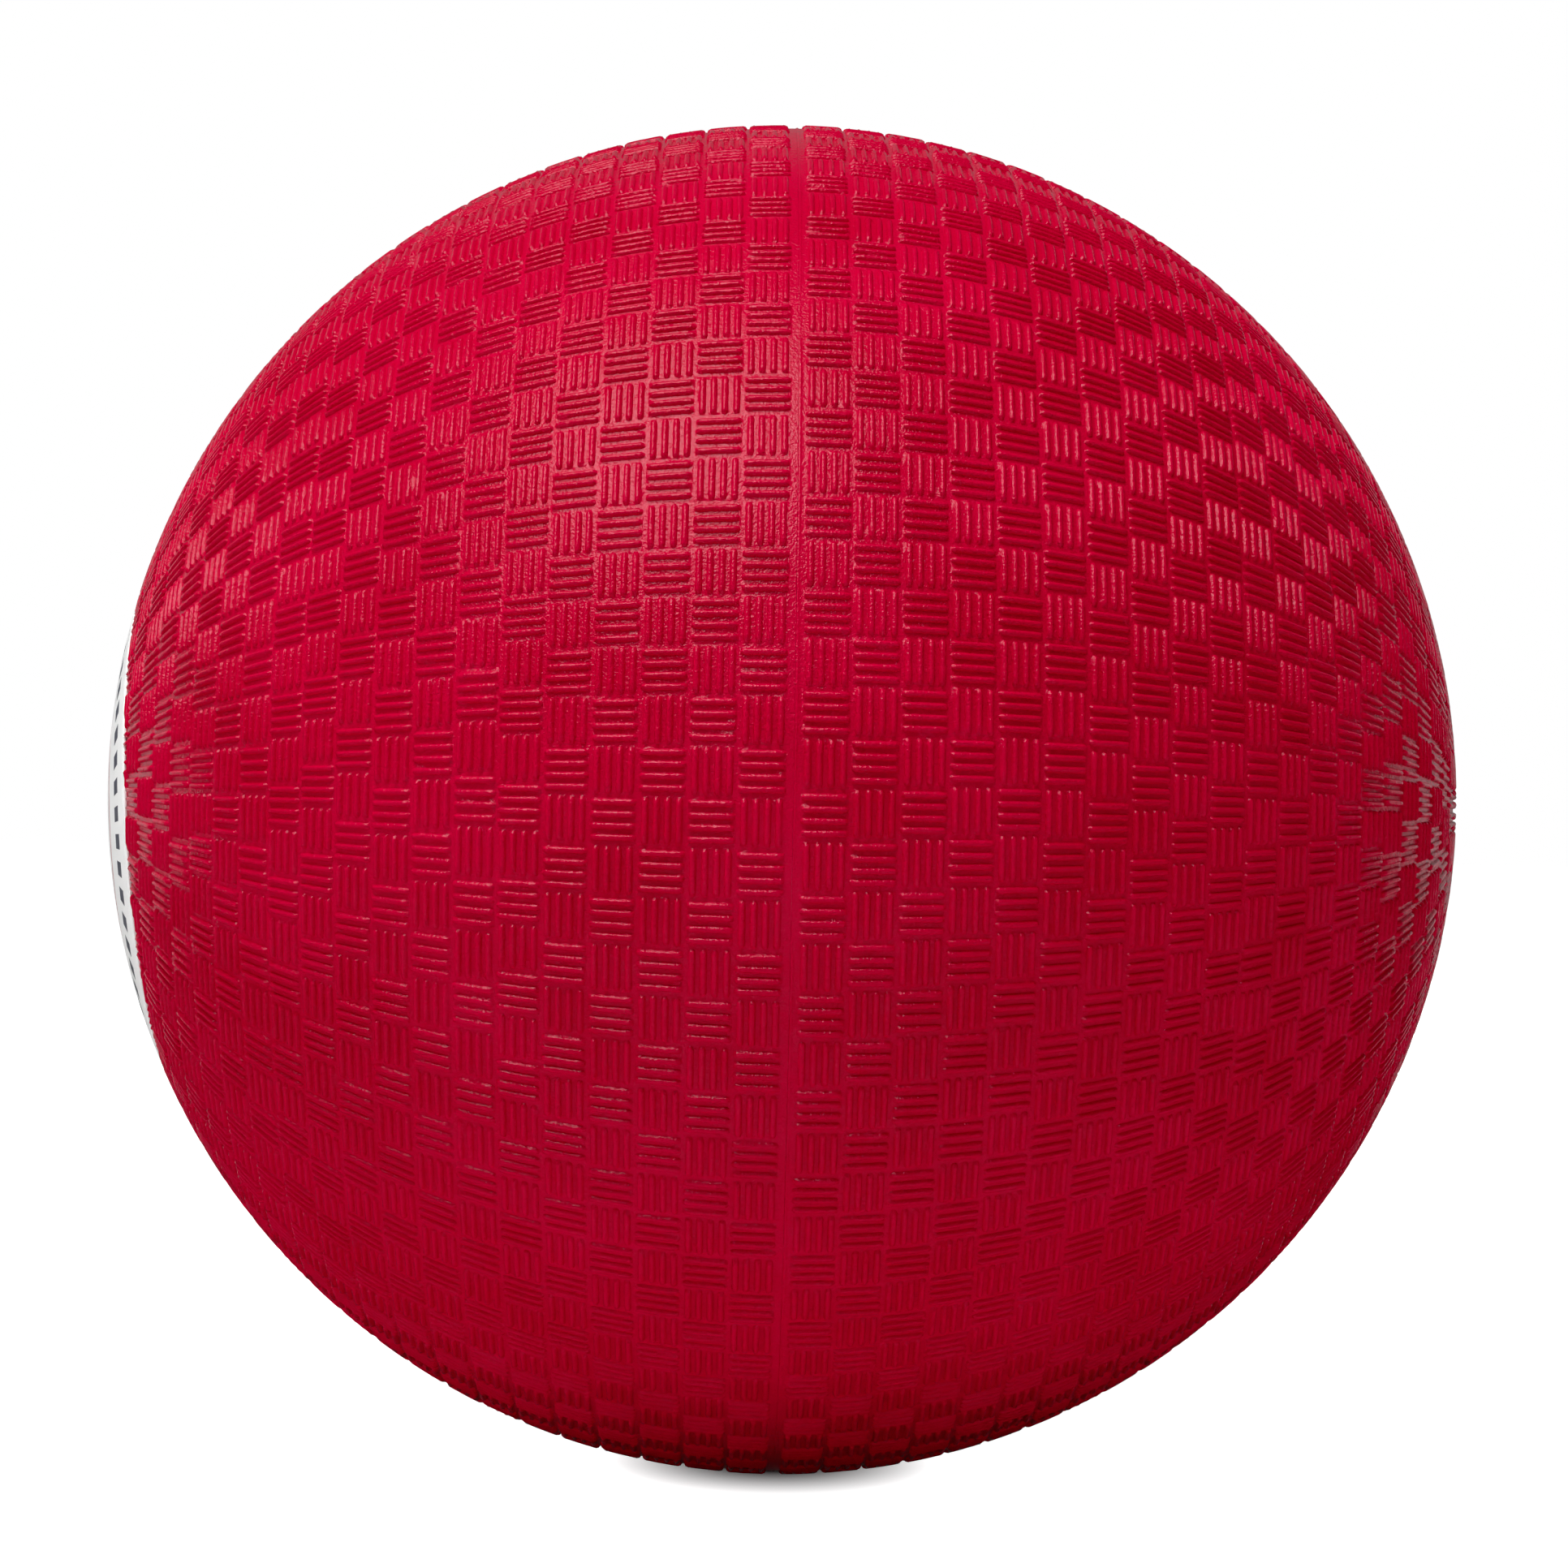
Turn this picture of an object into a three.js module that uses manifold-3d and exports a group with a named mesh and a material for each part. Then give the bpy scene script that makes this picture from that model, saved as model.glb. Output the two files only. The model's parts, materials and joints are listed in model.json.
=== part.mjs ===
// Inflated rubber playground ball, 8.5 inch.
// Millimetres, +Z up. The origin is the ball's centre. +X runs out through the valve, and the seam
// between the two cover halves lies in the YZ plane. The round label is round -X, a little low.
import * as THREE from 'three';
import { mergeVertices } from 'three/addons/utils/BufferGeometryUtils.js';
import Module from 'manifold-3d';

// ---- Driving dimensions ----
const BALL_RADIUS = 108;          // over the raised texture
const COVER_WALL = 1.4;           // with the texture
const CARCASS_WALL = 0.4;         // one layer of wound nylon thread set in rubber
const BLADDER_WALL = 0.5;
const GAP = 0.3;                  // clearance between neighbouring pieces
const FACETS = 40;                // facets round the X axis, and round a meridian

const LABEL_ANGLE = 23;           // degrees from the label's middle to its edge
const LABEL_TILT = 4;             // degrees from the -X axis down to the label's middle
const RECESS_REACH = 3;           // how far past the cover's surface the recess is cut
const LABEL_WALL = 0.4;
const LABEL_DEPTH = 0.1;          // the label's face lies this far below the top of the texture

const VALVE_HEAD_RADIUS = 5;      // the round face that shows in the cover
const NEEDLE_HOLE_RADIUS = 0.6;
const FUNNEL_RADIUS = 1.4;        // the needle hole widens to this at the face
const FUNNEL_DEPTH = 1;
const FLANGE_RADIUS = 12;
const FLANGE_WALL = 1;
const STEM_LENGTH = 14;           // from the face to the stem's inner end
const STEM_END_RADIUS = 4.4;
const PLUG_RADIUS = 2.7;
const PLUG_LENGTH = 7.5;
const PLUG_CHAMFER = 0.5;
const PLUG_DEPTH = 4.5;           // from the face to the plug's outer end
const LIP_RADIUS = 2.2;           // the opening under the plug, narrower than the plug
const PATCH_RADIUS = 18;
const PATCH_WALL = 0.5;

// ---- Worked-out radii of the layers ----
const COVER_INNER = BALL_RADIUS - COVER_WALL;
const LABEL_OUTER = BALL_RADIUS - LABEL_DEPTH;
const LABEL_INNER = LABEL_OUTER - LABEL_WALL;
const LABEL_FLOOR = LABEL_INNER - GAP;
const CARCASS_OUTER = COVER_INNER - GAP;
const CARCASS_INNER = CARCASS_OUTER - CARCASS_WALL;
const BLADDER_OUTER = CARCASS_INNER - GAP;
const BLADDER_INNER = BLADDER_OUTER - BLADDER_WALL;
const PATCH_OUTER = BLADDER_INNER - GAP;
const PATCH_INNER = PATCH_OUTER - PATCH_WALL;
const VALVE_HOLE_RADIUS = VALVE_HEAD_RADIUS + GAP;

const STEP_ANGLE = 360 / FACETS;
const POLE = 90;

// ---- Profiles ----
// A profile point is (distance from the X axis, place along the X axis).
const degrees = THREE.MathUtils.radToDeg;
const radians = THREE.MathUtils.degToRad;

// The latitude at which a sphere is this far from the axis, on the valve's side.
function latitudeOfDistance(radius, distance) {
  return degrees(Math.acos(distance / radius));
}

// The latitude at which a sphere reaches this place along the axis.
function latitudeOfHeight(radius, height) {
  return degrees(Math.asin(height / radius));
}

// A stretch of one meridian between two latitudes. The points between its ends lie at the same
// latitudes on every sphere, so that nested layers have parallel facets and keep their gap.
function meridian(radius, from, to) {
  const low = Math.min(from, to);
  const high = Math.max(from, to);
  const latitudes = [low];
  for (let i = Math.ceil(low / STEP_ANGLE); i * STEP_ANGLE < high; i += 1) {
    if (i * STEP_ANGLE > low) {
      latitudes.push(i * STEP_ANGLE);
    }
  }
  latitudes.push(high);
  if (from > to) {
    latitudes.reverse();
  }
  return latitudes.map((latitude) => {
    const distance = Math.abs(latitude) === POLE ? 0 : radius * Math.cos(radians(latitude));
    return new THREE.Vector2(distance, radius * Math.sin(radians(latitude)));
  });
}

function closed(profile) {
  return [...profile, profile[0].clone()];
}

function point(distance, height) {
  return new THREE.Vector2(distance, height);
}

// ---- The pieces ----
const ball = new THREE.Group();

// Turns a profile round the Y axis, which addPiece lays along X.
function turned(profile) {
  return new THREE.LatheGeometry(profile, FACETS);
}

// Moves a turned geometry from the -X axis to the label's place.
function tilted(geometry) {
  return geometry.rotateX(radians(LABEL_TILT));
}

function addPiece(name, geometry, material) {
  const mesh = new THREE.Mesh(geometry, material);
  mesh.name = name;
  mesh.rotation.z = -Math.PI / 2;
  ball.add(mesh);
}

const wasm = await Module();
wasm.setup();

function solidOf(geometry) {
  const bare = geometry.clone();
  bare.deleteAttribute('normal');
  bare.deleteAttribute('uv');
  const merged = mergeVertices(bare);
  return new wasm.Manifold(new wasm.Mesh({
    numProp: 3,
    vertProperties: Float32Array.from(merged.attributes.position.array),
    triVerts: Uint32Array.from(merged.index.array),
  }));
}

// What is left of one geometry where another has been cut away.
function cut(geometry, tool) {
  const mesh = solidOf(geometry).subtract(solidOf(tool)).getMesh();
  const result = new THREE.BufferGeometry();
  result.setAttribute('position', new THREE.BufferAttribute(mesh.vertProperties, 3));
  result.setIndex(new THREE.BufferAttribute(mesh.triVerts, 1));
  result.computeVertexNormals();
  return result;
}

function coverLabelHalfProfile() {
  return [
    ...meridian(BALL_RADIUS, -POLE, latitudeOfHeight(BALL_RADIUS, -GAP / 2)),
    ...meridian(COVER_INNER, latitudeOfHeight(COVER_INNER, -GAP / 2), -POLE),
  ];
}

// The shallow round recess that the label lies in.
function recessProfile() {
  const edge = LABEL_ANGLE - POLE + degrees(GAP / BALL_RADIUS);
  return [
    ...meridian(BALL_RADIUS + RECESS_REACH, -POLE, edge),
    ...meridian(LABEL_FLOOR, edge, -POLE),
  ];
}

// The cover half with the valve's hole through it.
function coverValveHalfProfile() {
  return closed([
    ...meridian(
      BALL_RADIUS,
      latitudeOfHeight(BALL_RADIUS, GAP / 2),
      latitudeOfDistance(BALL_RADIUS, VALVE_HOLE_RADIUS),
    ),
    ...meridian(
      COVER_INNER,
      latitudeOfDistance(COVER_INNER, VALVE_HOLE_RADIUS),
      latitudeOfHeight(COVER_INNER, GAP / 2),
    ),
  ]);
}

// A layer that goes all the way round, open only at the valve's hole.
function layerProfile(outer, inner) {
  return [
    ...meridian(outer, -POLE, latitudeOfDistance(outer, VALVE_HOLE_RADIUS)),
    ...meridian(inner, latitudeOfDistance(inner, VALVE_HOLE_RADIUS), -POLE),
  ];
}

function labelProfile() {
  const edge = LABEL_ANGLE - POLE;
  return [
    ...meridian(LABEL_OUTER, -POLE, edge),
    ...meridian(LABEL_INNER, edge, -POLE),
  ];
}

// A curved washer inside the bladder, round the valve's stem.
function patchProfile() {
  return closed([
    ...meridian(
      PATCH_OUTER,
      latitudeOfDistance(PATCH_OUTER, PATCH_RADIUS),
      latitudeOfDistance(PATCH_OUTER, VALVE_HOLE_RADIUS),
    ),
    ...meridian(
      PATCH_INNER,
      latitudeOfDistance(PATCH_INNER, VALVE_HOLE_RADIUS),
      latitudeOfDistance(PATCH_INNER, PATCH_RADIUS),
    ),
  ]);
}

// The stem, with its round face in the cover, a flange under the patch, the needle hole, and the
// chamber that holds the plug. The chamber is open to the bladder through the lip.
function valveHousingProfile() {
  const face = BALL_RADIUS;
  const stemEnd = face - STEM_LENGTH;
  const flangeTop = Math.sqrt(PATCH_INNER ** 2 - FLANGE_RADIUS ** 2) - GAP;
  const flangeBottom = flangeTop - FLANGE_WALL;
  const chamberRadius = PLUG_RADIUS + GAP;
  const chamberTop = face - PLUG_DEPTH + GAP;
  const chamberBottom = face - PLUG_DEPTH - PLUG_LENGTH - GAP;
  return closed([
    point(LIP_RADIUS, stemEnd),
    point(STEM_END_RADIUS, stemEnd),
    point(VALVE_HEAD_RADIUS, flangeBottom),
    point(FLANGE_RADIUS, flangeBottom),
    point(FLANGE_RADIUS, flangeTop),
    point(VALVE_HEAD_RADIUS, flangeTop),
    point(VALVE_HEAD_RADIUS, face),
    point(FUNNEL_RADIUS, face),
    point(NEEDLE_HOLE_RADIUS, face - FUNNEL_DEPTH),
    point(NEEDLE_HOLE_RADIUS, chamberTop),
    point(chamberRadius, chamberTop),
    point(chamberRadius, chamberBottom),
    point(LIP_RADIUS, chamberBottom),
  ]);
}

function valvePlugProfile() {
  const top = BALL_RADIUS - PLUG_DEPTH;
  const bottom = top - PLUG_LENGTH;
  return [
    point(0, bottom),
    point(PLUG_RADIUS - PLUG_CHAMFER, bottom),
    point(PLUG_RADIUS, bottom + PLUG_CHAMFER),
    point(PLUG_RADIUS, top - PLUG_CHAMFER),
    point(PLUG_RADIUS - PLUG_CHAMFER, top),
    point(0, top),
  ];
}

function rubber(color, roughness) {
  return new THREE.MeshStandardMaterial({ color, roughness, metalness: 0 });
}

const coverRubber = rubber(0xb4002d, 0.45);
const labelPrint = rubber(0xf2f2f0, 0.5);
const woundNylon = rubber(0xcfc8b8, 0.8);
const bladderRubber = rubber(0x1c1c1e, 0.6);
const patchRubber = rubber(0x3a3a3c, 0.7);
const valveRubber = rubber(0x9c0026, 0.5);
const plugRubber = rubber(0xc9b48a, 0.4);

const coverLabelHalf = cut(turned(coverLabelHalfProfile()), tilted(turned(recessProfile())));
addPiece('cover_label_half', coverLabelHalf, coverRubber);
addPiece('cover_valve_half', turned(coverValveHalfProfile()), coverRubber);
addPiece('label_disc', tilted(turned(labelProfile())), labelPrint);
addPiece('carcass', turned(layerProfile(CARCASS_OUTER, CARCASS_INNER)), woundNylon);
addPiece('bladder', turned(layerProfile(BLADDER_OUTER, BLADDER_INNER)), bladderRubber);
addPiece('bladder_patch', turned(patchProfile()), patchRubber);
addPiece('valve_housing', turned(valveHousingProfile()), valveRubber);
addPiece('valve_plug', turned(valvePlugProfile()), plugRubber);

export default ball;
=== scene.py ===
"""Inflated rubber playground ball with a raised basket-weave texture, for Blender 4.5.

Metres, +Z up. The ball's centre is the origin, +X runs out through the valve, and the seam between
the two cover halves lies in the YZ plane. The label is round -X, a little low.

Places on the ball are given in degrees: the latitude is 0 at the seam and 90 at a half's pole, and
the turn goes round the X axis, 0 towards -Y and 90 towards +Z.
"""
import json
import math
import random
from typing import NamedTuple

import bpy
import numpy as np
from mathutils import Matrix, Vector

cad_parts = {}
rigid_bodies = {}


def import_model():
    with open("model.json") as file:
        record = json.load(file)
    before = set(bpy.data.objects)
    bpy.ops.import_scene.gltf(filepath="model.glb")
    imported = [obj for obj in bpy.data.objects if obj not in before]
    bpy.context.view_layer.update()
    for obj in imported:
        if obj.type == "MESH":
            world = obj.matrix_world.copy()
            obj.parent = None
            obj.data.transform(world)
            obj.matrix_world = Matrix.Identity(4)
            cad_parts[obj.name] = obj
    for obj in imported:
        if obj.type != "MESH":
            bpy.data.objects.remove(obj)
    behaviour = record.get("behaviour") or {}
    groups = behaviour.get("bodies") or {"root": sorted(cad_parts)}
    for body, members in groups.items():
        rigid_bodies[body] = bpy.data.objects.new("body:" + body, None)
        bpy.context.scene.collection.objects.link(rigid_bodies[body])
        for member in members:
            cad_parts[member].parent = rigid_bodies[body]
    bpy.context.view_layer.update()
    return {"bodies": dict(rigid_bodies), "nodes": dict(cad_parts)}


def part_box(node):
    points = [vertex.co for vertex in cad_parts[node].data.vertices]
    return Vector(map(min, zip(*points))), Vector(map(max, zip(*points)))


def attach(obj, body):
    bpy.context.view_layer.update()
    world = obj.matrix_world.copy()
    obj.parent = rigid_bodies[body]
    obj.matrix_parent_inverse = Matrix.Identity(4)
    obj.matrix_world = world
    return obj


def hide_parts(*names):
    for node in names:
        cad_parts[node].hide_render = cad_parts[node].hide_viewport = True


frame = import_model()

MM = 0.001

# ---- Sizes from the CAD frame ----
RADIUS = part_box("cover_valve_half")[1].z
VALVE_LOW, VALVE_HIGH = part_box("valve_housing")
PLUG_LOW, PLUG_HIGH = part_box("valve_plug")
BODY = next(iter(frame["bodies"]))

# ---- Cover ----
COVER_INNER = RADIUS - 1.4 * MM
RIB_HEIGHT = 0.56 * MM
GROUND = RADIUS - RIB_HEIGHT     # the smooth rubber between the ribs
BAND = 3.5                       # width of one band of patches, in degrees
INNER_POINTS = 96                # round each ring of the cover's inside, and near the poles
INNER_STEP = 6                   # degrees between the rings of the inside
POLE_RINGS = (0.8, 0.55, 0.3, 0.12)  # where the smooth cap's rings are, in parts of its radius
LABEL_HALF_SEED = 11
VALVE_HALF_SEED = 23

# ---- Seam ----
SEAM_GAP = 0.02 * MM             # between the two halves' rims
SEAM_BAND = 0.45                 # degrees of smooth rubber on each side of the seam
SEAM_POINTS = 720
FLASH_HEIGHT = 0.13 * MM         # of the thin ridge that the mould's joint leaves
FLASH_SECTION = ((0.0, 0.15), (0.05, 0.8), (0.13, 1.0), (0.2, 0.35), (0.27, 0.0))  # latitude, height
FLASH_WAVES = (7, 11, 16, 23, 31)  # waves round the seam, to draw from
FLASH_WAVE_COUNT = 4
FLASH_MEAN = 0.75                # the ridge's mean height, in parts of FLASH_HEIGHT
FLASH_SWING = 0.5                # how far its height swings to each side
FLASH_STRAY = 0.06               # how far it strays sideways, in degrees

# ---- Texture ----
# Each zone is (number of bands, pairs of patches round the ball, turn of the middle of the first
# band's first patch, how much further than one patch each next band is turned). The patches get
# fewer towards the pole, a zone at a time.
LABEL_HALF_ZONES = (
    (5, 50, 1.9, 0.0),
    (1, 50, 6.4, 0.0),
    (3, 44, -0.4, -0.5),
    (2, 44, 3.8, 0.9),
    (1, 40, 7.5, 0.0),
    (3, 35, 2.2, 0.0),
    (2, 28, 2.8, 0.9),
    (1, 25, 5.7, 0.0),
    (1, 23, -1.4, 0.0),
    (1, 21, 8.3, 0.0),
)
VALVE_HALF_ZONES = (
    (5, 50, 6.1, 0.15),
    (5, 48, 3.0, -0.7),
    (2, 40, 3.2, 0.0),
    (3, 38, 4.1, -0.9),
    (1, 30, 3.0, 0.0),
    (1, 29, 7.5, 0.0),
    (1, 26, 1.7, 0.0),
    (1, 22, -7.5, 0.0),
    (1, 18, 6.2, 0.0),
    (1, 16, 0.0, 0.0),
    (1, 13, 0.0, 0.0),
    (1, 9, 0.0, 0.0),
    (1, 7, 0.0, 0.0),
)
RIBS = 4                         # in each patch
RIB_PITCH = 0.235                # in parts of a patch's width
RIB_HALF_WIDTH = 0.074           # in parts of a patch's width
RIB_END = 0.025                  # from the patch's edge to the rib's end, in parts of its length
RIB_SECTION = ((-1.0, 0.0), (-0.64, 0.72), (0.0, 1.0), (0.64, 0.72), (1.0, 0.0))  # offset, height
RIB_TIP = ((0.0, 0.0, 0.5), (0.4, 0.7, 0.85), (1.2, 1.0, 1.0))  # half widths from its end, height, width
RIB_MIDDLE = (0.26, 0.42, 0.58, 0.74)
RIB_DRIFT = 0.006                # how far a rib strays sideways, in parts of a patch's width
RIB_UNEVENNESS = 0.08            # how much the ribs' heights differ
WAVER = 0.004                    # how far a rib's outline wavers, in parts of a patch's width
WAVER_HEIGHT = 0.05              # how much its height wavers
BORDER_STEPS = 3                 # pieces of a border between two patches of one band
CIRCLE_SPACING = 1.3             # widest step between points on a border between bands, in degrees
CLOSEST_CORNERS = 0.12           # corners nearer than this, in degrees, become one

# ---- Label ----
LABEL_TILT = math.radians(4)     # from -X down to the label's middle
LABEL_CENTRE = Vector((-math.cos(LABEL_TILT), 0, -math.sin(LABEL_TILT)))
LABEL_ANGLE = math.radians(23)   # from the label's middle to its edge
LABEL_TOP = RADIUS - 0.1 * MM
LABEL_WALL = 0.4 * MM
LABEL_RECESS = LABEL_TOP - LABEL_WALL - 0.05 * MM
LABEL_SIDE_GAP = 0.1 * MM        # between the label's edge and the recess's
LABEL_LOWEST = 60                # the whole label lies above this latitude
LABEL_ROUNDING = 0.12            # height of the label's rounded edge, in mm
LABEL_OVERHANG = 0.1             # how far the rounded edge goes out, in mm
LABEL_RINGS = 28
LABEL_INNER_RING_STEP = 4        # the label's back has one ring for this many on its face
LABEL_SEGMENTS = 160

# ---- Label print ----
DASHES = 54                      # marks in the label's outer ring
DASH_SHARE = 0.55                # how much of each step is printed
# Each ring is (radius, half width), and the spot is a ring with no radius.
DASH_RING = (36 * MM, 1.6 * MM)
THIN_RING = (27 * MM, 0.5 * MM)
SPOT = (0.0, 11 * MM)
NAVY = (0.012, 0.014, 0.05, 1)
PRINT_RED = (0.45, 0.0, 0.02, 1)

# ---- Valve, in mm ----
HOLE_RADIUS = 5.3                # through the cover
PAD_SECTION = (                  # (distance from the axis, height over the ground)
    (10.0, 0.0), (9.75, 0.22), (9.35, 0.4), (8.9, 0.42), (8.5, 0.3), (8.2, 0.16), (7.6, 0.12),
    (6.6, 0.16), (5.9, 0.24), (5.5, 0.26), (5.32, 0.2),
)
FACE_SECTION = (                 # (distance from the axis, depth under the raised ring's top)
    (5.0, 0.45), (4.93, 0.25), (4.75, 0.1), (4.45, 0.06),
    (3.6, 0.06), (3.45, 0.0), (3.0, 0.0), (2.85, 0.06),
    (1.75, 0.06), (1.45, 0.2), (1.1, 0.6), (0.6, 1.1),
)
HEAD_RADIUS = 5.0
NEEDLE_HOLE_RADIUS = 0.6
CHAMBER_RADIUS = 3.0             # the plug lies in the chamber
CHAMBER_ROOM = 0.3               # past each end of the plug
LIP_RADIUS = 2.2                 # the opening under the plug
STEM_END_RADIUS = 4.4
STEM_CHAMFER = (0.2, 0.3)        # inwards and along the stem
FLANGE_TOP = 102.9               # from the ball's centre
FLANGE_WALL = 1.0
FLANGE_CHAMFER = 0.3
VALVE_SEGMENTS = 96

# ---- Looks ----
CLOUD_SIZE = 22 * MM             # blotches of colour
GLOSS_SIZE = 3 * MM              # blotches of more and less gloss
GLOSS_SPREAD = 0.05
COARSE_GRAIN = 0.45 * MM
FINE_GRAIN = 0.25 * MM
SMOOTH_UP_TO = math.radians(60)  # edges bent more than this stay sharp
VALVE_SMOOTH_UP_TO = math.radians(40)
INNER_LOOKS = {                  # (dark colour, light colour, roughness, depth of the grain)
    "carcass": ((0.52, 0.48, 0.4, 1), (0.64, 0.6, 0.52, 1), 0.7, 0.1 * MM),
    "bladder": ((0.010, 0.010, 0.011, 1), (0.018, 0.018, 0.02, 1), 0.55, 0.03 * MM),
    "bladder_patch": ((0.03, 0.03, 0.032, 1), (0.05, 0.05, 0.052, 1), 0.65, 0.05 * MM),
    "valve_plug": ((0.5, 0.38, 0.2, 1), (0.62, 0.5, 0.3, 1), 0.35, 0.02 * MM),
}

# ---- Stage, light and camera ----
FLOOR_HALF = 6.0
GLOW_START = RADIUS + 0.3 * MM   # from the ball's centre: the floor doesn't glow nearer to it
GLOW_FULL = RADIUS + 3 * MM
ROOM_LIGHT = 1.0
ROOM_DARK = 0.02
STRAIGHT_BEHIND = 0.15           # the backdrop's share of light straight behind the ball
CAMERA_DISTANCE = 5 * RADIUS
CAMERA_TURN = math.radians(0.8)
CAMERA_ROLL = math.radians(1.0)
CAMERA_AIM = Vector((0.0003, 0, 0.00245))
DISPLAY_TOE = ((0.01, 0.0025), (0.035, 0.026), (0.12, 0.113))  # (dim tone, how it is shown)


# ---- Cover halves ----
class Skin:
    """The points and faces of one cover half, as it is built ring by ring."""

    def __init__(self, side):
        self.side = side          # +1 for the valve's half and -1 for the label's
        self.points = []          # (latitude, turn, distance from the centre)
        self.faces = []

    def point(self, latitude, turn, radius):
        self.points.append((latitude, turn, radius))
        return len(self.points) - 1

    def ring(self, latitude, radius, count):
        """A ring of evenly spaced points, as (turns, point numbers)."""
        turns = [360 * i / count for i in range(count)]
        return turns, [self.point(latitude, turn, radius) for turn in turns]

    def strip(self, first, second, first_at, second_at):
        """Triangles between two rows of points that run side by side, the second on the left."""
        i = 0
        j = 0
        while i < len(first) - 1 or j < len(second) - 1:
            if j == len(second) - 1 or (
                i < len(first) - 1 and first_at[i + 1] <= second_at[j + 1]
            ):
                if first[i] != first[i + 1]:
                    self.faces.append((first[i], first[i + 1], second[j]))
                i += 1
            else:
                if second[j] != second[j + 1]:
                    self.faces.append((first[i], second[j + 1], second[j]))
                j += 1

    def join_rings(self, rings):
        """Triangles all the way round between each ring and the next."""
        rows = [(points + points[:1], turns + [turns[0] + 360]) for turns, points in rings]
        for (first, first_at), (second, second_at) in zip(rows, rows[1:]):
            self.strip(first, second, first_at, second_at)

    def cap(self, ring, tip, outward):
        """A fan of triangles from a ring to a point on the axis."""
        points = ring[1]
        for a, b in zip(points, points[1:] + points[:1]):
            self.faces.append((a, b, tip) if outward else (b, a, tip))

    def mesh(self, name):
        """A mesh of the points and faces, facing out."""
        table = np.array(self.points)
        latitude = np.radians(table[:, 0])
        turn = np.radians(table[:, 1])
        radius = table[:, 2]
        x = self.side * np.sin(latitude) * radius + self.side * SEAM_GAP / 2
        y = -np.cos(latitude) * np.cos(turn) * radius
        z = np.cos(latitude) * np.sin(turn) * radius
        faces = self.faces
        if self.side > 0:
            faces = [face[::-1] for face in faces]
        mesh = bpy.data.meshes.new(name)
        mesh.from_pydata(np.column_stack((x, y, z)).tolist(), [], faces)
        return mesh


class Patch(NamedTuple):
    """Where a patch lies, in degrees, and which way its ribs run."""

    low: float
    high: float
    turn_low: float
    turn_high: float
    lengthwise: bool  # True for ribs from the seam towards the pole, False for ribs round the ball


def spread_zones(zones):
    """One (pairs, turn at which the first patch begins) for each band, from the seam to the pole."""
    bands = []
    for count, pairs, start, drift in zones:
        step = 180 / pairs
        for i in range(count):
            bands.append((pairs, start + i * (step + drift) - step / 2))
    return bands


def patch_corners(band):
    """The turns at which one band's patches meet."""
    pairs, start = band
    step = 180 / pairs
    return [(start + i * step) % 360 for i in range(2 * pairs)]


def border_circle(skin, latitude, radius, bands):
    """The ring between two bands: a point at each band's corners, and more where they are far apart."""
    corners = sorted(turn for band in bands for turn in patch_corners(band))
    kept = []
    for turn in corners:
        if not kept or turn - kept[-1] > CLOSEST_CORNERS:
            kept.append(turn)
    if kept[0] + 360 - kept[-1] <= CLOSEST_CORNERS:
        kept.pop()
    turns = []
    for turn, following in zip(kept, kept[1:] + [kept[0] + 360]):
        gap = following - turn
        steps = max(1, math.ceil(gap * math.cos(math.radians(latitude)) / CIRCLE_SPACING))
        turns += [turn + gap * k / steps for k in range(steps)]
    turns = sorted(turn % 360 for turn in turns)
    return turns, [skin.point(latitude, turn, radius) for turn in turns]


def nearest(circle, turn):
    """Where in a ring's list the point at this turn is."""
    away = [abs((t - turn + 180) % 360 - 180) for t in circle[0]]
    return away.index(min(away))


def stretch(circle, start, end):
    """The points of a ring from one turn to another, and how far along each is, from 0 to 1."""
    turns, points = circle
    first = nearest(circle, start)
    last = nearest(circle, end)
    count = (last - first) % len(turns)
    places = [(first + i) % len(turns) for i in range(count + 1)]
    base = turns[first]
    length = (turns[last] - base) % 360
    return [points[p] for p in places], [((turns[p] - base) % 360) / length for p in places]


def places_across():
    """Places across a patch, as (rib, offset from its middle line, height)."""
    return [(rib, offset, height) for rib in range(RIBS) for offset, height in RIB_SECTION]


def places_along():
    """Places along a rib, as (place along the patch, height, width)."""
    tip = [(RIB_END + along * RIB_HALF_WIDTH, height, width) for along, height, width in RIB_TIP]
    middle = [(along, 1.0, 1.0) for along in RIB_MIDDLE]
    return tip + middle + [(1 - along, height, width) for along, height, width in tip[::-1]]


def draw_ribs(draw):
    """A patch's ribs, as (middle line across the patch, height, slip along the patch)."""
    ribs = []
    for i in range(RIBS):
        middle = 0.5 + (i - (RIBS - 1) / 2) * RIB_PITCH + draw.uniform(-RIB_DRIFT, RIB_DRIFT)
        height = RIB_HEIGHT * draw.uniform(1 - RIB_UNEVENNESS, 1.0)
        slip = draw.uniform(-RIB_DRIFT, RIB_DRIFT)
        ribs.append((middle, height, slip))
    return ribs


def rib_grid(skin, patch, draw):
    """A patch's rows of points, each from its low latitude to its high one, in order of turn."""
    ribs = draw_ribs(draw)
    stations = places_along()
    grid = []
    for rib, offset, height in places_across():
        middle, top, slip = ribs[rib]
        row = []
        for along, lift, width in stations:
            across = middle + offset * width * RIB_HALF_WIDTH + draw.uniform(-WAVER, WAVER) * lift
            radius = GROUND + top * height * lift * draw.uniform(1 - WAVER_HEIGHT, 1)
            u, v = (across, along + slip) if patch.lengthwise else (along + slip, across)
            latitude = patch.low + v * (patch.high - patch.low)
            turn = patch.turn_low + u * (patch.turn_high - patch.turn_low)
            row.append(skin.point(latitude, turn, radius))
        grid.append(row)
    if patch.lengthwise:
        return grid
    return [list(column) for column in zip(*grid)]


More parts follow.
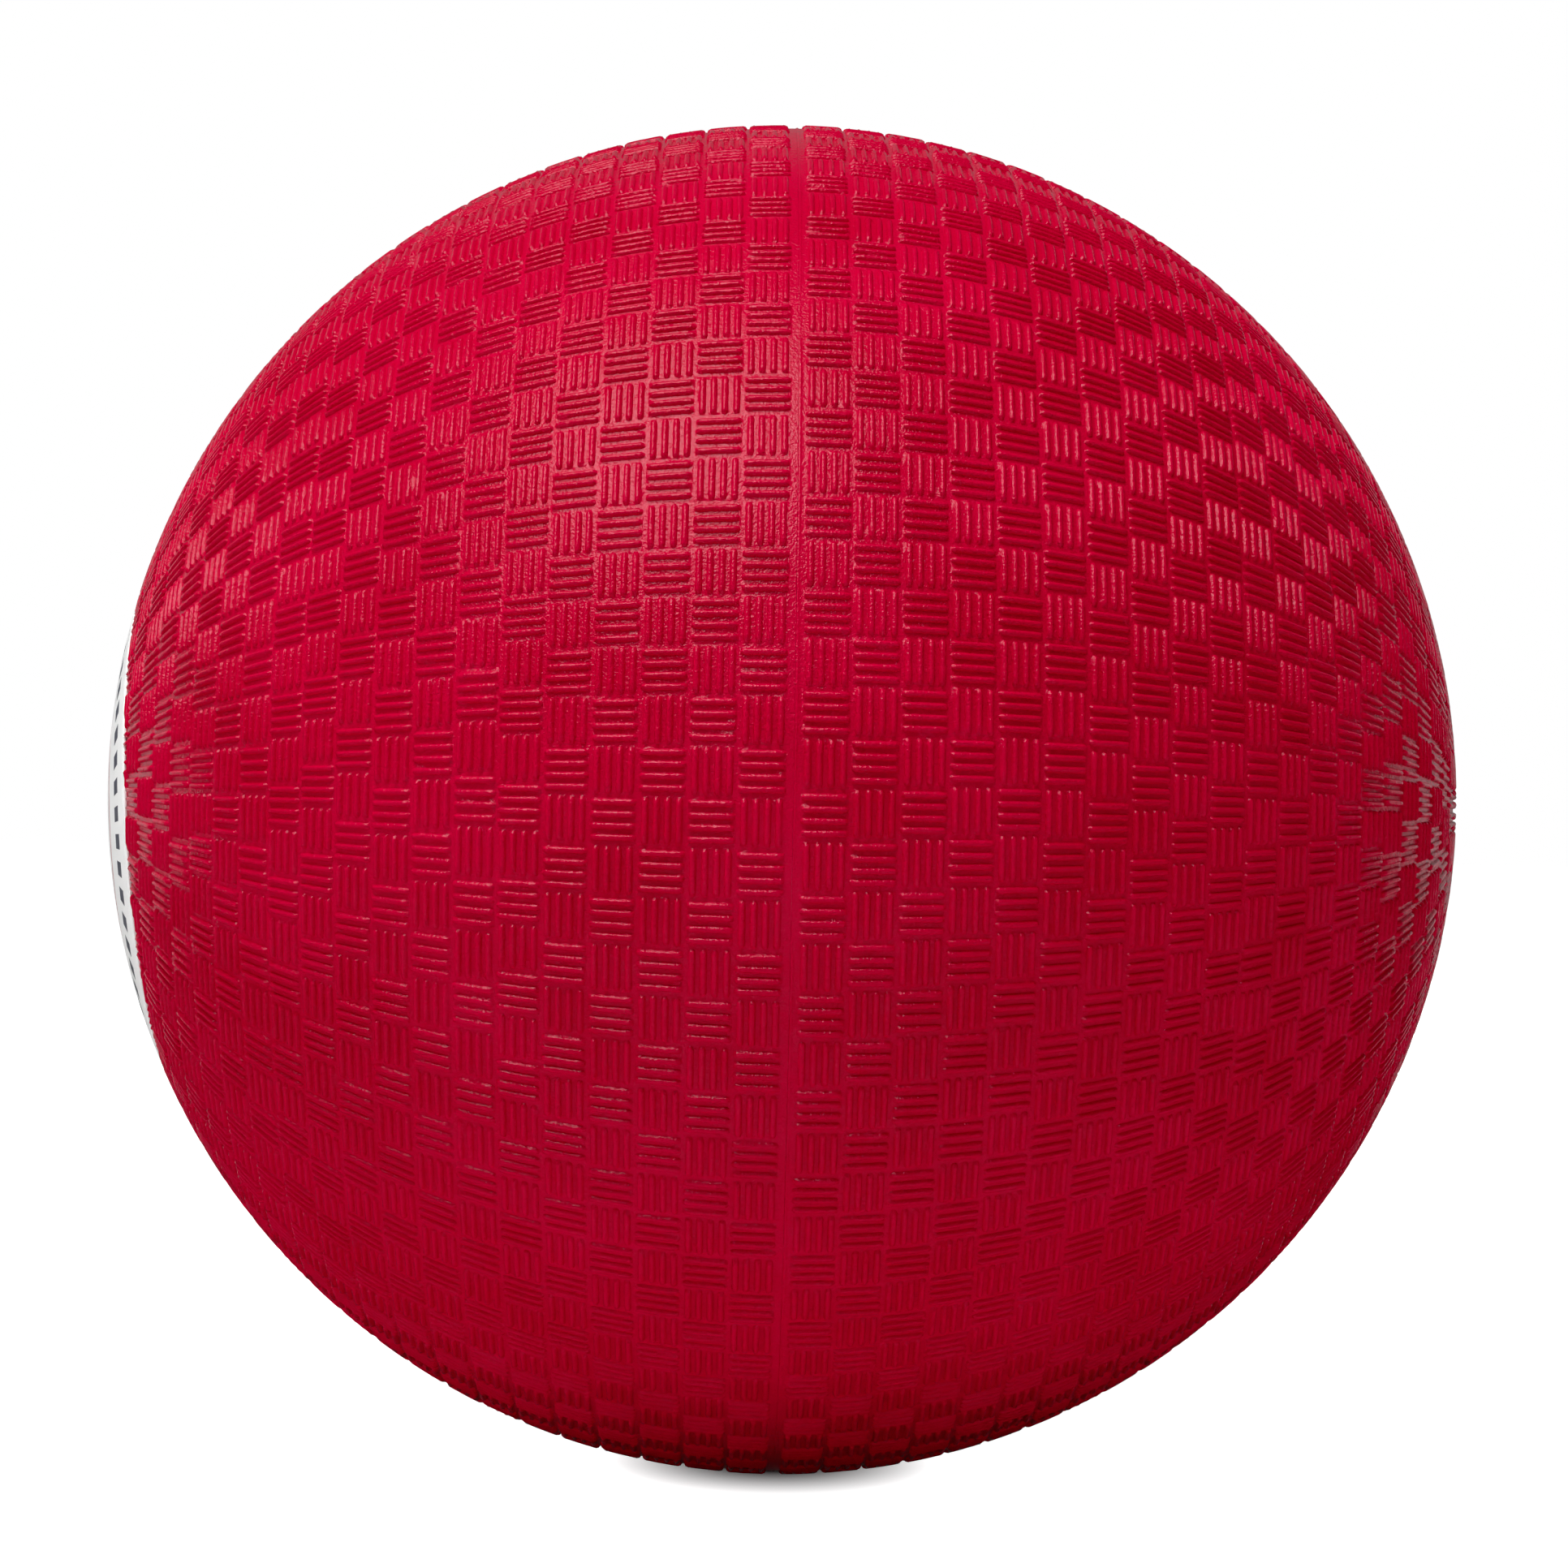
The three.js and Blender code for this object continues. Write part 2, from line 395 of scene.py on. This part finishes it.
def add_patch(skin, patch, sides, circles, draw):
    """One patch of ribs with the smooth rubber round them.

    sides are its two borders with its neighbours in the band, and circles the rings below and
    above the band.
    """
    grid = rib_grid(skin, patch, draw)
    for row, following in zip(grid, grid[1:]):
        for j in range(len(row) - 1):
            skin.faces.append((row[j], following[j], following[j + 1], row[j + 1]))
    turn_span = patch.turn_high - patch.turn_low
    turn_at = [(skin.points[row[0]][1] - patch.turn_low) / turn_span for row in grid]
    latitude_at = [(skin.points[p][0] - patch.low) / (patch.high - patch.low) for p in grid[0]]
    even = [k / BORDER_STEPS for k in range(BORDER_STEPS + 1)]
    below, below_at = stretch(circles[0], patch.turn_low, patch.turn_high)
    above, above_at = stretch(circles[1], patch.turn_low, patch.turn_high)
    skin.strip(below, [row[0] for row in grid], below_at, turn_at)
    skin.strip([row[-1] for row in grid], above, turn_at, above_at)
    skin.strip(grid[0], sides[0], latitude_at, even)
    skin.strip(sides[1], grid[-1], even, latitude_at)


def add_band(skin, band, low, circles, draw):
    """One band of patches, whose ribs run lengthwise and crosswise by turns."""
    corners = patch_corners(band)
    borders = []
    for turn in corners:
        ends = [circle[1][nearest(circle, turn)] for circle in circles]
        between = [
            skin.point(low + BAND * k / BORDER_STEPS, turn, GROUND)
            for k in range(1, BORDER_STEPS)
        ]
        borders.append([ends[0], *between, ends[1]])
    step = 180 / band[0]
    for i, turn in enumerate(corners):
        patch = Patch(low, low + BAND, turn, turn + step, i % 2 == 0)
        sides = (borders[i], borders[(i + 1) % len(borders)])
        add_patch(skin, patch, sides, circles, draw)


def add_weave(skin, zones, draw):
    """All the bands of one half. Returns the first and last rings, and the last one's latitude."""
    bands = spread_zones(zones)
    circles = []
    for i in range(len(bands) + 1):
        beside = bands[max(i - 1, 0):i + 1]
        circles.append(border_circle(skin, SEAM_BAND + i * BAND, GROUND, beside))
    for i, band in enumerate(bands):
        add_band(skin, band, SEAM_BAND + i * BAND, circles[i:i + 2], draw)
    return circles[0], circles[-1], SEAM_BAND + BAND * len(bands)


def seam_rings(skin, flash_height, draw):
    """The rim and the smooth band beside it, from the inside out, with the fine flash along it."""
    rings = [skin.ring(0, COVER_INNER, INNER_POINTS)]
    waves = [
        (draw.uniform(0, 360), draw.choice(FLASH_WAVES))
        for _ in range(FLASH_WAVE_COUNT)
    ]
    for latitude, lift in FLASH_SECTION:
        turns, points = skin.ring(latitude, GROUND, SEAM_POINTS)
        for turn, p in zip(turns, points):
            wave = sum(math.sin(math.radians(n * turn + phase)) for phase, n in waves) / len(waves)
            height = flash_height * lift * (FLASH_MEAN + FLASH_SWING * wave)
            away = 0 if latitude == 0 else FLASH_STRAY * wave
            skin.points[p] = (latitude + away, turn, GROUND + height)
        rings.append((turns, points))
    return rings


def inner_rings(skin, top):
    """The cover's inside, from near the pole back towards the seam."""
    return [
        skin.ring(latitude, COVER_INNER, INNER_POINTS)
        for latitude in range(top, 0, -INNER_STEP)
    ]


def sink_under_label(skin):
    """Lowers what lies under the label, so that the label sits in a shallow recess."""
    limit = math.cos(LABEL_ANGLE + LABEL_SIDE_GAP / RADIUS)
    for i, (latitude, turn, radius) in enumerate(skin.points):
        if latitude < LABEL_LOWEST or radius < LABEL_RECESS:
            continue
        a = math.radians(latitude)
        b = math.radians(turn)
        place = Vector((-math.sin(a), -math.cos(a) * math.cos(b), math.cos(a) * math.sin(b)))
        if place.dot(LABEL_CENTRE) > limit:
            skin.points[i] = (latitude, turn, LABEL_RECESS)


def cover_label_half():
    """The cover half with the label's recess, smooth round its pole."""
    draw = random.Random(LABEL_HALF_SEED)
    skin = Skin(-1)
    rings = seam_rings(skin, 0.0, draw)
    first, last, top = add_weave(skin, LABEL_HALF_ZONES, draw)
    skin.join_rings([*rings, first])
    outer = [last]
    for share in POLE_RINGS:
        outer.append(skin.ring(90 - (90 - top) * share, GROUND, INNER_POINTS))
    skin.join_rings(outer)
    skin.cap(outer[-1], skin.point(90, 0, GROUND), True)
    inner = inner_rings(skin, top=87)
    skin.cap(inner[0], skin.point(90, 0, COVER_INNER), False)
    skin.join_rings([*inner, rings[0]])
    sink_under_label(skin)
    return skin.mesh("cover_label")


def latitude_of(distance, radius):
    """The latitude at which a sphere is this far from the axis."""
    return math.degrees(math.acos(distance / radius))


def cover_valve_half():
    """The cover half with the valve's pad and hole, and with the flash along the seam."""
    draw = random.Random(VALVE_HALF_SEED)
    skin = Skin(1)
    rings = seam_rings(skin, FLASH_HEIGHT, draw)
    first, last, _ = add_weave(skin, VALVE_HALF_ZONES, draw)
    skin.join_rings([*rings, first])
    outer = [last]
    for distance, height in PAD_SECTION:
        radius = GROUND + height * MM
        outer.append(skin.ring(latitude_of(distance * MM, radius), radius, INNER_POINTS))
    hole = skin.ring(latitude_of(HOLE_RADIUS * MM, COVER_INNER), COVER_INNER, INNER_POINTS)
    skin.join_rings([*outer, hole, *inner_rings(skin, top=84), rings[0]])
    return skin.mesh("cover_valve")


# ---- Turned pieces ----
def turned(name, profile, segments):
    """A closed mesh turned round the X axis from (distance, place along X) points in mm.

    A profile that starts off the axis closes on itself.
    """
    closed = profile[0][0] > 0
    verts = []
    rows = []
    for distance, along in profile:
        if distance == 0:
            verts.append((along * MM, 0, 0))
            rows.append([len(verts) - 1] * segments)
            continue
        row = []
        for k in range(segments):
            turn = 2 * math.pi * k / segments
            verts.append((along * MM, -distance * MM * math.cos(turn), distance * MM * math.sin(turn)))
            row.append(len(verts) - 1)
        rows.append(row)
    if closed:
        rows.append(rows[0])
    faces = []
    for lower, upper in zip(rows, rows[1:]):
        for k in range(segments):
            n = (k + 1) % segments
            corners = (lower[k], upper[k], upper[n], lower[n])
            faces.append(tuple(dict.fromkeys(corners)))
    mesh = bpy.data.meshes.new(name)
    mesh.from_pydata(verts, [], [face for face in faces if len(face) > 2])
    return mesh


def sphere_point(radius, angle):
    """A profile point on a sphere, this angle away from the -X axis."""
    return radius * math.sin(angle), -radius * math.cos(angle)


def label_mesh():
    """The label: a curved disc with a rounded edge."""
    outer = LABEL_TOP / MM
    inner = outer - LABEL_WALL / MM
    angles = [LABEL_ANGLE * i / LABEL_RINGS for i in range(LABEL_RINGS + 1)]
    profile = [sphere_point(outer, angle) for angle in angles]
    profile.append(sphere_point(outer - LABEL_ROUNDING, LABEL_ANGLE + LABEL_OVERHANG / outer))
    profile += [sphere_point(inner, angle) for angle in angles[::-LABEL_INNER_RING_STEP]]
    mesh = turned("label", profile, LABEL_SEGMENTS)
    mesh.transform(Matrix.Rotation(-LABEL_TILT, 4, "Y"))
    return mesh


def valve_mesh():
    """The valve housing, with its face, funnel, needle hole, flange and the plug's chamber."""
    face = VALVE_HIGH.x / MM
    stem_end = VALVE_LOW.x / MM
    rim = VALVE_HIGH.y / MM
    inset = rim - FLANGE_CHAMFER
    flange_bottom = FLANGE_TOP - FLANGE_WALL
    chamber_top = PLUG_HIGH.x / MM + CHAMBER_ROOM
    chamber_bottom = PLUG_LOW.x / MM - CHAMBER_ROOM
    inwards, along = STEM_CHAMFER
    stem = [
        (LIP_RADIUS, stem_end),
        (STEM_END_RADIUS - inwards, stem_end),
        (STEM_END_RADIUS, stem_end + along),
    ]
    flange = [
        (HEAD_RADIUS, flange_bottom),
        (inset, flange_bottom),
        (rim, flange_bottom + FLANGE_CHAMFER),
        (rim, FLANGE_TOP - FLANGE_CHAMFER),
        (inset, FLANGE_TOP),
        (HEAD_RADIUS, FLANGE_TOP),
    ]
    head = [(distance, face - depth) for distance, depth in FACE_SECTION]
    chamber = [
        (NEEDLE_HOLE_RADIUS, chamber_top),
        (CHAMBER_RADIUS, chamber_top),
        (CHAMBER_RADIUS, chamber_bottom),
        (LIP_RADIUS, chamber_bottom),
    ]
    return turned("valve", stem + flange + head + chamber, VALVE_SEGMENTS)


# ---- Materials ----
# The owner of a node is a material or the world.
def feed(owner, socket, value):
    """Links a socket from another one, or sets it to a value."""
    if isinstance(value, bpy.types.NodeSocket):
        owner.node_tree.links.new(value, socket)
    else:
        socket.default_value = value


def add_node(owner, kind, settings=None, **inputs):
    """A node with its settings, and its inputs either linked from a socket or set to a value."""
    node = owner.node_tree.nodes.new("ShaderNode" + kind)
    for key, value in (settings or {}).items():
        setattr(node, key, value)
    for key, value in inputs.items():
        feed(owner, node.inputs[key.replace("_", " ")], value)
    return node


def math_node(owner, operation, *values):
    """The result of an operation on sockets and numbers."""
    node = add_node(owner, "Math", {"operation": operation})
    for socket, value in zip(node.inputs, values):
        feed(owner, socket, value)
    return node.outputs["Value"]


def blend_colours(owner, fac, a, b):
    """The colour a where fac is 0 and b where it is 1."""
    node = add_node(owner, "Mix", {"data_type": "RGBA"})
    # The Mix node has its sockets for colours at these places.
    for socket, value in zip((node.inputs[0], node.inputs[6], node.inputs[7]), (fac, a, b)):
        feed(owner, socket, value)
    return node.outputs[2]


def noise(owner, place, size, detail=2.0, rough=0.5):
    """Noise whose blotches are about this many metres across."""
    return add_node(
        owner, "TexNoise", None,
        Vector=place, Scale=1 / size, Detail=detail, Roughness=rough,
    ).outputs["Fac"]


def ramp(owner, value, low, high, to_low, to_high):
    """Takes low to to_low and high to to_high, and stays between them."""
    return add_node(
        owner, "MapRange", {"clamp": True},
        Value=value, From_Min=low, From_Max=high, To_Min=to_low, To_Max=to_high,
    ).outputs["Result"]


def new_material(name):
    """A node material with only its output and a Principled shader in it."""
    material = bpy.data.materials.new(name)
    material.use_nodes = True
    nodes = material.node_tree.nodes
    nodes.clear()
    out = nodes.new("ShaderNodeOutputMaterial")
    shader = nodes.new("ShaderNodeBsdfPrincipled")
    material.node_tree.links.new(shader.outputs["BSDF"], out.inputs["Surface"])
    return material, shader


def rubber_material(name, dark, light, roughness, grain, specular=0.5):
    """Moulded rubber: faint blotches of colour, uneven gloss and a fine grain of this depth."""
    material, shader = new_material(name)
    place = add_node(material, "TexCoord").outputs["Object"]
    cloud = ramp(material, noise(material, place, CLOUD_SIZE, detail=3), 0.35, 0.65, 0, 1)
    feed(material, shader.inputs["Base Color"], blend_colours(material, cloud, dark, light))
    patchy = noise(material, place, GLOSS_SIZE, detail=4, rough=0.6)
    gloss = ramp(material, patchy, 0.3, 0.7, roughness - GLOSS_SPREAD, roughness + GLOSS_SPREAD)
    feed(material, shader.inputs["Roughness"], gloss)
    feed(material, shader.inputs["Specular IOR Level"], specular)
    coarse = add_node(
        material, "Bump", None,
        Strength=1.0, Distance=grain, Height=noise(material, place, COARSE_GRAIN, detail=1),
    )
    fine = add_node(
        material, "Bump", None,
        Strength=1.0, Distance=grain * 0.5, Height=noise(material, place, FINE_GRAIN, detail=2),
        Normal=coarse.outputs["Normal"],
    )
    feed(material, shader.inputs["Normal"], fine.outputs["Normal"])
    return material


def print_over(material, mask, colour):
    """Prints a colour on a material wherever the mask is 1."""
    socket = material.node_tree.nodes["Principled BSDF"].inputs["Base Color"]
    below = socket.links[0].from_socket
    feed(material, socket, blend_colours(material, mask, below, colour))


def print_label(material):
    """Plain marks on the label: a ring of short dashes, a thin ring and a round spot."""
    level = add_node(
        material, "VectorRotate", {"rotation_type": "Y_AXIS"},
        Vector=add_node(material, "TexCoord").outputs["Object"], Angle=LABEL_TILT,
    ).outputs["Vector"]
    split = add_node(material, "SeparateXYZ", None, Vector=level)
    across = split.outputs["Y"]
    up = split.outputs["Z"]
    across_squared = math_node(material, "MULTIPLY", across, across)
    up_squared = math_node(material, "MULTIPLY", up, up)
    from_middle = math_node(
        material, "SQRT", math_node(material, "ADD", across_squared, up_squared))
    angle = math_node(material, "ARCTAN2", up, across)
    steps = math_node(material, "MULTIPLY", angle, DASHES / (2 * math.pi))
    dashes = math_node(
        material, "LESS_THAN", math_node(material, "FRACT", steps), DASH_SHARE)
    dash_ring = math_node(material, "COMPARE", from_middle, *DASH_RING)
    print_over(material, math_node(material, "MULTIPLY", dash_ring, dashes), NAVY)
    print_over(material, math_node(material, "COMPARE", from_middle, *THIN_RING), PRINT_RED)
    print_over(material, math_node(material, "COMPARE", from_middle, *SPOT), PRINT_RED)


# ---- Pieces ----
def add_piece(name, mesh, material, node, smooth_up_to=SMOOTH_UP_TO):
    """Puts a mesh in the scene as the visible form of a CAD node."""
    mesh.materials.append(material)
    mesh.shade_smooth()
    mesh.set_sharp_from_angle(angle=smooth_up_to)
    piece = bpy.data.objects.new(name, mesh)
    bpy.context.scene.collection.objects.link(piece)
    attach(piece, BODY)
    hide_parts(node)


cover_rubber = rubber_material(
    "cover_rubber", (0.485, 0.0, 0.031, 1), (0.535, 0.0, 0.038, 1), 0.2, 0.12 * MM, 0.4)
valve_rubber = rubber_material(
    "valve_rubber", (0.36, 0.0, 0.017, 1), (0.40, 0.0, 0.02, 1), 0.42, 0.02 * MM, 0.4)
label_print = rubber_material(
    "label_print", (0.9, 0.9, 0.89, 1), (0.94, 0.94, 0.93, 1), 0.4, 0.01 * MM, 0.4)
print_label(label_print)

add_piece("cover_label_half_skin", cover_label_half(), cover_rubber, "cover_label_half")
add_piece("cover_valve_half_skin", cover_valve_half(), cover_rubber, "cover_valve_half")
add_piece("label_print_disc", label_mesh(), label_print, "label_disc")
add_piece(
    "valve_face", valve_mesh(), valve_rubber, "valve_housing", VALVE_SMOOTH_UP_TO)

for node_name, look in INNER_LOOKS.items():
    node_mesh = frame["nodes"][node_name].data
    node_mesh.materials.clear()
    node_mesh.materials.append(rubber_material(node_name + "_look", *look))


# ---- Stage ----
def table_material():
    """A matt white table that glows for the camera alone, except close to where the ball stands."""
    material, shader = new_material("lit_table")
    feed(material, shader.inputs["Base Color"], (0.9, 0.9, 0.9, 1))
    feed(material, shader.inputs["Roughness"], 0.9)
    feed(material, shader.inputs["Specular IOR Level"], 0.0)
    feed(material, shader.inputs["Emission Color"], (1, 1, 1, 1))
    from_ball = add_node(
        material, "VectorMath", {"operation": "LENGTH"},
        Vector=add_node(material, "TexCoord").outputs["Object"],
    ).outputs["Value"]
    glow = ramp(material, from_ball, GLOW_START, GLOW_FULL, 0.0, 1.0)
    seen = add_node(material, "LightPath").outputs["Is Camera Ray"]
    feed(material, shader.inputs["Emission Strength"], math_node(material, "MULTIPLY", glow, seen))
    return material


floor_mesh = bpy.data.meshes.new("floor")
floor_mesh.from_pydata(
    [(x * FLOOR_HALF, y * FLOOR_HALF, -RADIUS) for x, y in ((-1, -1), (1, -1), (1, 1), (-1, 1))],
    [], [(0, 1, 2, 3)],
)
floor_mesh.materials.append(table_material())
floor = bpy.data.objects.new("floor", floor_mesh)
floor.visible_glossy = False
bpy.context.scene.collection.objects.link(floor)


# ---- Light ----
def softbox(name, place, side, power, as_gloss=False):
    """A square soft light that faces the ball, and shows either only in its gloss or not in it."""
    data = bpy.data.lights.new(name, "AREA")
    data.shape = "SQUARE"
    data.size = side
    data.energy = power
    lamp = bpy.data.objects.new(name, data)
    lamp.location = place
    lamp.rotation_euler = Vector(place).to_track_quat("Z", "Y").to_euler()
    lamp.visible_glossy = as_gloss
    lamp.visible_diffuse = not as_gloss
    bpy.context.scene.collection.objects.link(lamp)


softbox("sheen", (-0.46, -0.72, 1.22), 0.95, 11.5, as_gloss=True)
softbox("overhead", (-0.27, -0.5, 1.38), 1.0, 27.5)
softbox("left_fill", (-2.0, -0.3, 0.5), 1.5, 9)
softbox("right_fill", (2.0, -0.3, 0.3), 1.5, 4)
softbox("front_fill", (0.0, -2.5, 0.6), 3.0, 8)

# The room is light behind the ball, but less so straight behind it, and dark in front of it. The
# camera sees white all round.
world = bpy.data.worlds.new("studio")
bpy.context.scene.world = world
world.use_nodes = True
background = world.node_tree.nodes["Background"]
direction = add_node(
    world, "SeparateXYZ", None, Vector=add_node(world, "TexCoord").outputs["Generated"])


def fade_in(axis, start, end):
    """0 where the direction's part along an axis is at start, and 1 at end."""
    return add_node(
        world, "MapRange", {"interpolation_type": "SMOOTHSTEP"},
        Value=direction.outputs[axis], From_Min=start, From_Max=end,
    ).outputs["Result"]


backdrop = math_node(world, "MULTIPLY", fade_in("Y", 0.5, 0.7), fade_in("Z", -0.4, -0.1))
backdrop = math_node(world, "MULTIPLY", backdrop, fade_in("Z", 0.75, 0.3))
behind = math_node(
    world, "MULTIPLY_ADD", fade_in("Y", 0.97, 0.66), 1 - STRAIGHT_BEHIND, STRAIGHT_BEHIND)
backdrop = math_node(world, "MULTIPLY", backdrop, behind)
around = math_node(world, "MULTIPLY_ADD", backdrop, ROOM_LIGHT - ROOM_DARK, ROOM_DARK)
seen_by_camera = add_node(world, "LightPath").outputs["Is Camera Ray"]
feed(world, background.inputs["Color"], (1, 1, 1, 1))
feed(world, background.inputs["Strength"], math_node(world, "MAXIMUM", around, seen_by_camera))

# ---- Camera ----
camera_data = bpy.data.cameras.new("camera")
camera_data.sensor_width = 36
camera_data.lens = 75.9
camera_data.clip_start = 0.01
camera = bpy.data.objects.new("camera", camera_data)
camera.location = (
    -CAMERA_DISTANCE * math.sin(CAMERA_TURN),
    -CAMERA_DISTANCE * math.cos(CAMERA_TURN),
    0,
)
view = (CAMERA_AIM - camera.location).to_track_quat("-Z", "Y").to_matrix()
camera.rotation_euler = (view @ Matrix.Rotation(CAMERA_ROLL, 3, "Z")).to_euler()
bpy.context.scene.collection.objects.link(camera)
bpy.context.scene.camera = camera

# A plain display transform, with the shadows pulled down a little as in a product photograph.
display = bpy.context.scene.view_settings
display.view_transform = "Standard"
display.use_curve_mapping = True
all_channels = display.curve_mapping.curves[3]
for dim, shown in DISPLAY_TOE:
    all_channels.points.new(dim, shown)
display.curve_mapping.update()
